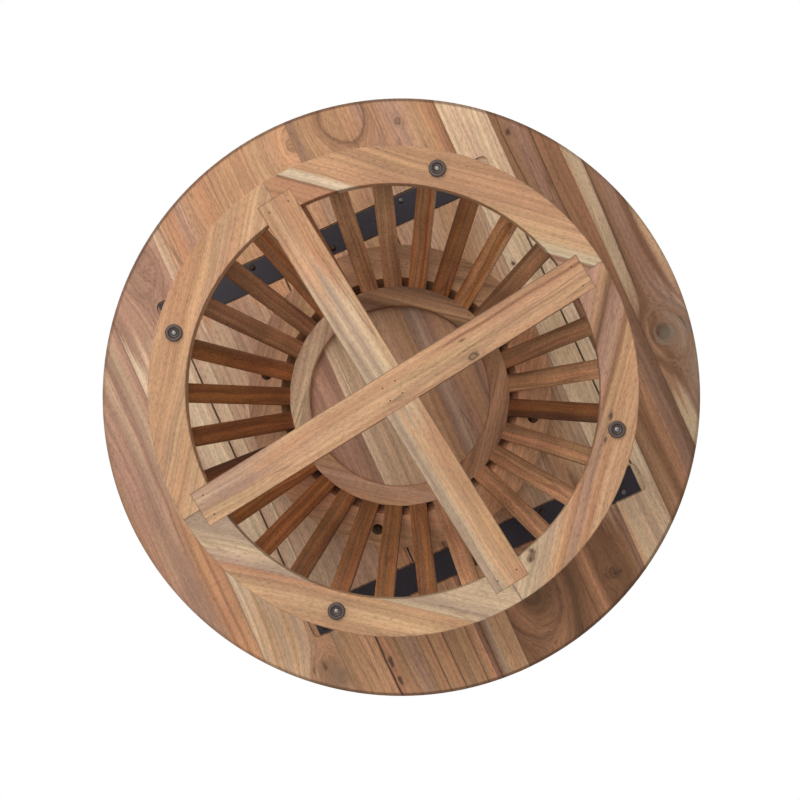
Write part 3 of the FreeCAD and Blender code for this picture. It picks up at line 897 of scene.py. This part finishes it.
COAT_TONES = ("#221b1f", "#383239")
COAT_CLOUD = 35 * MM
COAT_ROUGHNESS = 0.32
COAT_GLOSS = 0.15
DUST_TONE = "#8d8782"
DUST_SIZE = 2.2 * MM
DUST_NOISE = {"From Min": 0.74, "From Max": 0.80}
DUST_SHARE = 0.5
STEEL_ROUGHNESS_RANGE = 0.2


def coated_steel():
    """Black coated steel for a batten."""
    material, tree = new_tree("satin_black_coated_steel")
    place = add(tree, "ShaderNodeTexCoord", out="Object")
    cloud = add(tree, NOISE, {"Vector": place, "Scale": 1 / COAT_CLOUD, "Detail": SOFT})
    dust = add(tree, NOISE, {"Vector": place, "Scale": 1 / DUST_SIZE, "Detail": PLAIN})
    speck = add(tree, RANGE, {"Value": dust, **DUST_NOISE, "To Max": DUST_SHARE})
    dark, pale = COAT_TONES
    inputs = {MIX_FACTOR: cloud, MIX_FIRST: linear(dark), MIX_SECOND: linear(pale)}
    colour = add(tree, MIX, inputs, out=MIX_RESULT, data_type="RGBA")
    inputs = {MIX_FACTOR: speck, MIX_FIRST: colour, MIX_SECOND: linear(DUST_TONE)}
    colour = add(tree, MIX, inputs, out=MIX_RESULT, data_type="RGBA")
    rough = add(tree, MATH, [cloud, STEEL_ROUGHNESS_RANGE, COAT_ROUGHNESS], operation="MULTIPLY_ADD")
    surface(tree, {"Base Color": colour, "Roughness": rough, "Specular IOR Level": COAT_GLOSS})
    return material


# Steel of the fasteners, slightly cloudy: dulled zinc plate is grey, blackened steel is brown-black,
# passivated steel is a paler grey, and the brads are dull and brown

STEEL_CLOUD = 1.8 * MM


def fastener_steel(name, dark, bright, roughness):
    """Steel with a cloudy finish between two tones."""
    material, tree = new_tree(name)
    place = add(tree, "ShaderNodeTexCoord", out="Object")
    cloud = add(tree, NOISE, {"Vector": place, "Scale": 1 / STEEL_CLOUD, "Detail": SOFT})
    inputs = {MIX_FACTOR: cloud, MIX_FIRST: linear(dark), MIX_SECOND: linear(bright)}
    colour = add(tree, MIX, inputs, out=MIX_RESULT, data_type="RGBA")
    smoothest = roughness - STEEL_ROUGHNESS_RANGE / 2
    rough = add(tree, MATH, [cloud, STEEL_ROUGHNESS_RANGE, smoothest], operation="MULTIPLY_ADD")
    surface(tree, {"Base Color": colour, "Roughness": rough, "Metallic": 1.0})
    return material


zinc_steel = fastener_steel("zinc_plated_steel", "#3b3936", "#625f5b", roughness=0.34)
black_steel = fastener_steel("blackened_steel", "#261b15", "#463529", roughness=0.42)
grey_steel = fastener_steel("passivated_steel", "#55524d", "#8f8b85", roughness=0.4)
dull_steel = fastener_steel("dull_brad_steel", "#33291f", "#57483a", roughness=0.6)


# Moulded polypropylene: dark brown and matt, with fine grit and scuffs where it slides on floors

PLASTIC_TONES = ("#2b1d19", "#4d372e")
GRIT_SIZE = 1.2 * MM
GRIT_DEPTH = 0.1 * MM
GRIT_RELIEF = 0.3
SCUFF_SIZE = 6 * MM
PLASTIC_ROUGHNESS = 0.36
PLASTIC_ROUGHNESS_RANGE = 0.25


def moulded_plastic():
    """Scuffed plastic for the glides."""
    material, tree = new_tree("moulded_polypropylene")
    place = add(tree, "ShaderNodeTexCoord", out="Object")
    grit = add(tree, NOISE, {"Vector": place, "Scale": 1 / GRIT_SIZE, "Detail": FINE})
    scuff = add(tree, NOISE, {"Vector": place, "Scale": 1 / SCUFF_SIZE, "Detail": SOFT})
    dark, pale = PLASTIC_TONES
    inputs = {MIX_FACTOR: scuff, MIX_FIRST: linear(dark), MIX_SECOND: linear(pale)}
    colour = add(tree, MIX, inputs, out=MIX_RESULT, data_type="RGBA")
    rough = add(tree, MATH, [scuff, PLASTIC_ROUGHNESS_RANGE, PLASTIC_ROUGHNESS], operation="MULTIPLY_ADD")
    bump = add(tree, "ShaderNodeBump", {"Strength": GRIT_RELIEF, "Distance": GRIT_DEPTH, "Height": grit})
    surface(tree, {"Base Color": colour, "Roughness": rough, "Normal": bump})
    return material


for number in (1, 2):
    dress(f"steel_batten_{number}", coated_steel())
dress("brace_brads", dull_steel)


# Screws and glides, made where the CAD has them

SPIN_STEPS = 40
SMOOTH_ANGLE = math.radians(35)
SPOTS_APART = 40 * MM
MERGE_DISTANCE = 0.001 * MM

# A pan head's dome from its middle outwards, in shares of its radius and height
PAN_DOME = ((0, 1), (0.45, 0.94), (0.75, 0.76), (0.93, 0.46), (1, 0.15))
# The cross recess in shares of the head's radius and height, and what is left of its wings at its floor
CROSS_REACH = 0.55
CROSS_WIDTH = 0.24
CROSS_FLOOR = 0.25
CROSS_DEPTH = 1.4
CROSS_NARROWS = (0.45, 0.6, 1.0)
# The pointed tip, in shank radii
TIP_LENGTH = 3


@dataclass
class Screw:
    """A pan-head screw's sizes in millimetres."""
    head_height: float
    head_radius: float
    shank_radius: float


BATTEN_SCREW = Screw(head_height=2.6, head_radius=4.0, shank_radius=2.0)
BASE_SCREW = Screw(head_height=4.5, head_radius=7.0, shank_radius=3.0)
GLIDE_SCREW = Screw(head_height=2.0, head_radius=3.5, shank_radius=1.75)


def spots(node):
    """The boxes of a node's separate solids, which stand well apart on the plan, row by row from -Y."""
    found = []
    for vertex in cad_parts[node].data.vertices:
        point = vertex.co
        near = next((s for s in found if (s["seed"] - point).xy.length < SPOTS_APART), None)
        if near is None:
            near = {"seed": point.copy(), "low": point.copy(), "high": point.copy()}
            found.append(near)
        near["low"] = Vector(map(min, near["low"], point))
        near["high"] = Vector(map(max, near["high"], point))
    return sorted(found, key=lambda s: (round(s["low"].y, 1), s["low"].x))


def turned(profile):
    """A mesh turned about the upright axis from radius and height in millimetres."""
    bm = bmesh.new()
    ring = [bm.verts.new((radius * MM, 0, height * MM)) for radius, height in profile]
    edges = [bm.edges.new(pair) for pair in zip(ring, ring[1:])]
    bmesh.ops.spin(
        bm, geom=ring + edges, cent=(0, 0, 0), axis=(0, 0, 1), angle=2 * math.pi,
        steps=SPIN_STEPS, use_merge=True,
    )
    bmesh.ops.remove_doubles(bm, verts=bm.verts, dist=MERGE_DISTANCE)
    bmesh.ops.dissolve_degenerate(bm, edges=bm.edges, dist=MERGE_DISTANCE)
    bmesh.ops.recalc_face_normals(bm, faces=bm.faces)
    return finished_mesh("turned", bm)


def cross_wing(reach, width, depth, floor):
    """One wing bar of a cross recess, narrower at its floor, cut into a head that faces down."""
    bm = bmesh.new()
    bmesh.ops.create_cube(bm, size=1.0)
    bmesh.ops.scale(bm, vec=(2 * reach * MM, width * MM, depth * MM), verts=bm.verts)
    upper = [vertex for vertex in bm.verts if vertex.co.z > 0]
    bmesh.ops.scale(bm, vec=CROSS_NARROWS, verts=upper)
    bmesh.ops.translate(bm, vec=(0, 0, (floor - depth / 2) * MM), verts=bm.verts)
    return finished_mesh("cross_wing", bm)


def with_cross(mesh, reach, width, floor, depth):
    """A screw mesh with a cross recess sunk in its head up to a floor height."""
    body = new_object("screw_blank", mesh)
    wings = []
    for turn in (0, QUARTER_TURN):
        wing_mesh = cross_wing(reach, width, depth, floor)
        wing_mesh.transform(Matrix.Rotation(math.radians(turn), 4, "Z"))
        wing = new_object("cross_wing", wing_mesh)
        wings.append(wing)
        modifier = body.modifiers.new("cross", "BOOLEAN")
        modifier.operation = "DIFFERENCE"
        modifier.object = wing
    seen = body.evaluated_get(bpy.context.evaluated_depsgraph_get())
    result = bpy.data.meshes.new_from_object(seen)
    for temporary in (body, *wings):
        bpy.data.objects.remove(temporary)
    return result


def pan_screw(screw, length):
    """A pan-head screw pointing up, with the face under its head at height zero."""
    profile = [(out * screw.head_radius, -down * screw.head_height) for out, down in PAN_DOME]
    profile += [
        (screw.head_radius, 0),
        (screw.shank_radius, 0),
        (screw.shank_radius, length - TIP_LENGTH * screw.shank_radius),
        (0, length),
    ]
    reach = CROSS_REACH * screw.head_radius
    width = CROSS_WIDTH * screw.head_radius
    floor = -CROSS_FLOOR * screw.head_height
    depth = CROSS_DEPTH * screw.head_height
    return with_cross(turned(profile), reach, width, floor, depth)


def gather(name, mesh, places, materials, second=()):
    """One piece from copies of a mesh at places; the numbered ones take the second material."""
    bm = bmesh.new()
    for number, place in enumerate(places):
        copy = mesh.copy()
        copy.transform(Matrix.Translation(place))
        for polygon in copy.polygons:
            polygon.material_index = int(number in second)
        bm.from_mesh(copy)
        bpy.data.meshes.remove(copy)
    joined = finished_mesh(name, bm)
    for material in materials:
        joined.materials.append(material)
    joined.shade_smooth()
    joined.set_sharp_from_angle(angle=SMOOTH_ANGLE)
    return new_object(name, joined)


def stand_for(piece, node):
    """The piece shows in place of a CAD node and hangs under the table's body."""
    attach(piece, BODY)
    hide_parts(node)


def middle(spot, height):
    """The point on a spot's upright axis at a height."""
    centre = (spot["low"] + spot["high"]) / 2
    return Vector((centre.x, centre.y, height))


def replace_screws(node, screw, materials, second=()):
    """Screws with cross recesses in place of a node's plain ones."""
    found = spots(node)
    length = (found[0]["high"].z - found[0]["low"].z) / MM - screw.head_height
    places = [middle(spot, spot["low"].z + screw.head_height * MM) for spot in found]
    piece = gather(f"cross_{node}", pan_screw(screw, length), places, materials, second)
    stand_for(piece, node)


# Two of the battens' screws are zinc plated; they are counted from 0 at -X, the -Y batten first
ZINC_BATTEN_SCREWS = (3, 9)

replace_screws("batten_screws", BATTEN_SCREW, [black_steel, zinc_steel], ZINC_BATTEN_SCREWS)
replace_screws("base_screws", BASE_SCREW, [black_steel])
replace_screws("glide_screws", GLIDE_SCREW, [grey_steel])


# A glide's section in millimetres, as radius and height above the floor

GLIDE_HOLE = 1.75
GLIDE_RECESS = 2.6
GLIDE_RADIUS = 10.25
GLIDE_HEIGHT = 5.0
GLIDE_DISH = ((GLIDE_HOLE, GLIDE_RECESS), (5.0, GLIDE_RECESS), (5.7, 2.2), (6.3, 0.6))
GLIDE_LIP = ((6.6, 0.25), (7.0, 0.3), (7.3, 0.05))
GLIDE_SOLE = ((7.6, 0.0), (9.0, 0.0))
GLIDE_RIM = ((9.7, 0.2), (10.1, 0.65), (GLIDE_RADIUS, 1.2))
GLIDE_SIDE = ((GLIDE_RADIUS, 4.6), (10.1, GLIDE_HEIGHT))
GLIDE_BACK = ((GLIDE_HOLE, GLIDE_HEIGHT), (GLIDE_HOLE, GLIDE_RECESS))


def replace_glides():
    """Round glides: a flat sole with a rolled rim, a lip and a dished recess for the screw."""
    profile = GLIDE_DISH + GLIDE_LIP + GLIDE_SOLE + GLIDE_RIM + GLIDE_SIDE + GLIDE_BACK
    places = [middle(spot, 0) for spot in spots("foot_glides")]
    piece = gather("moulded_glides", turned(profile), places, [moulded_plastic()])
    stand_for(piece, "foot_glides")


replace_glides()


# Floor: pale and matt, white far off, and shown only from above, because the picture looks up from below.
# It fades to white between two distances, and is darker near what stands on it.

FLOOR_TONE = "#f4f3f1"
WHITE = "#ffffff"
FLOOR_RADIUS = 9.0
FLOOR_SEGMENTS = 96
FLOOR_DROP = 0.5 * MM
FLOOR_FADE = {"From Min": 0.8, "From Max": 3.2}
CONTACT_REACH = 90 * MM


def floor_material():
    """Matt pale paint with a contact shadow, white far off and clear from below."""
    material, tree = new_tree("pale_matt_floor")
    ray = add(tree, "ShaderNodeLightPath", out="Is Camera Ray")
    behind = add(tree, "ShaderNodeNewGeometry", out="Backfacing")
    front = add(tree, MATH, [1.0, behind], operation="SUBTRACT")
    shown = add(tree, MATH, [ray, front], operation="MULTIPLY")
    clear = add(tree, "ShaderNodeBsdfTransparent")
    inputs = {"Color": linear(FLOOR_TONE), "Distance": CONTACT_REACH}
    pale = add(tree, "ShaderNodeAmbientOcclusion", inputs)
    matt = add(tree, "ShaderNodeBsdfDiffuse", {"Color": pale})
    white = add(tree, "ShaderNodeEmission", {"Color": linear(WHITE), "Strength": 1.0})
    place = add(tree, "ShaderNodeTexCoord", out="Object")
    far = add(tree, "ShaderNodeVectorMath", [place], out="Value", operation="LENGTH")
    fade = add(tree, RANGE, {"Value": far, **FLOOR_FADE}, interpolation_type="SMOOTHSTEP")
    ground = add(tree, "ShaderNodeMixShader", {0: fade, 1: matt, 2: white})
    mixed = add(tree, "ShaderNodeMixShader", {0: shown, 1: clear, 2: ground})
    add(tree, "ShaderNodeOutputMaterial", {"Surface": mixed})
    return material


def make_floor():
    """A round floor under the table, which isn't a piece of it."""
    bm = bmesh.new()
    bmesh.ops.create_circle(bm, cap_ends=True, segments=FLOOR_SEGMENTS, radius=FLOOR_RADIUS)
    bmesh.ops.translate(bm, vec=(0, 0, -FLOOR_DROP), verts=bm.verts)
    mesh = finished_mesh("floor", bm)
    mesh.materials.append(floor_material())
    floor = new_object("floor", mesh)


make_floor()


# Camera: below the table, looking almost straight up, as the picture was taken

EYE = Vector((0.0460, 0.0834, -2.600))
TARGET = Vector((-0.0023, 0.0042, 0.355))
PICTURE_ROLL = math.radians(24.37)
PICTURE_RIGHT = Vector((math.cos(PICTURE_ROLL), math.sin(PICTURE_ROLL), 0))
PICTURE_UP = Vector((math.sin(PICTURE_ROLL), -math.cos(PICTURE_ROLL), 0))
LENS_MM = 99.51
SENSOR_MM = 36.0


def make_camera():
    """The camera, rolled so that the picture's up is up."""
    data = bpy.data.cameras.new("camera")
    data.lens = LENS_MM
    data.sensor_width = SENSOR_MM
    camera = new_object("camera", data)
    forward = (TARGET - EYE).normalized()
    right = forward.cross(PICTURE_UP).normalized()
    upwards = right.cross(forward)
    turn = Matrix((right, upwards, -forward)).transposed()
    camera.matrix_world = Matrix.Translation(EYE) @ turn.to_4x4()
    bpy.context.scene.camera = camera


make_camera()


# Light: a soft key from the picture's upper left, a fill near the camera, two like them above the table for
# the other views, and an even world

AMBIENT = 0.32
KEY_ASIDE = -1.4 * PICTURE_RIGHT + 2.1 * PICTURE_UP
KEY_WATTS = 64
KEY_SIZE = 2.6
FILL_ASIDE = -0.5 * PICTURE_RIGHT + 0.3 * PICTURE_UP
FILL_WATTS = 39
FILL_SIZE = 1.4
LAMP_HEIGHTS = {"below": -3.2, "above": 3.8}
LAMP_AIM = Vector((0, 0, 0.2))


def soft_light(name, place, watts, size):
    """A square lamp that faces the middle of the table."""
    data = bpy.data.lights.new(name, "AREA")
    data.energy = watts
    data.size = size
    lamp = new_object(name, data)
    lamp.location = place
    lamp.rotation_euler = (LAMP_AIM - place).to_track_quat("-Z", "Y").to_euler()


def make_world():
    """White to the camera and in reflections, and a dimmer even light on the table."""
    world = bpy.data.worlds.new("studio")
    bpy.context.scene.world = world
    world.use_nodes = True
    tree = world.node_tree
    tree.nodes.clear()
    light_path = add(tree, "ShaderNodeLightPath").node
    seen = light_path.outputs["Is Camera Ray"]
    for ray in ("Is Glossy Ray", "Is Transmission Ray"):
        seen = add(tree, MATH, [seen, light_path.outputs[ray]], operation="MAXIMUM")
    strength = add(tree, RANGE, {"Value": seen, "To Min": AMBIENT, "To Max": 1.0})
    glow = add(tree, "ShaderNodeBackground", {"Color": linear(WHITE), "Strength": strength})
    add(tree, "ShaderNodeOutputWorld", {"Surface": glow})


make_world()
for side, height in LAMP_HEIGHTS.items():
    soft_light(f"key_{side}", KEY_ASIDE + Vector((0, 0, height)), KEY_WATTS, KEY_SIZE)
    soft_light(f"fill_{side}", FILL_ASIDE + Vector((0, 0, height)), FILL_WATTS, FILL_SIZE)

bpy.context.scene.view_settings.view_transform = "Standard"
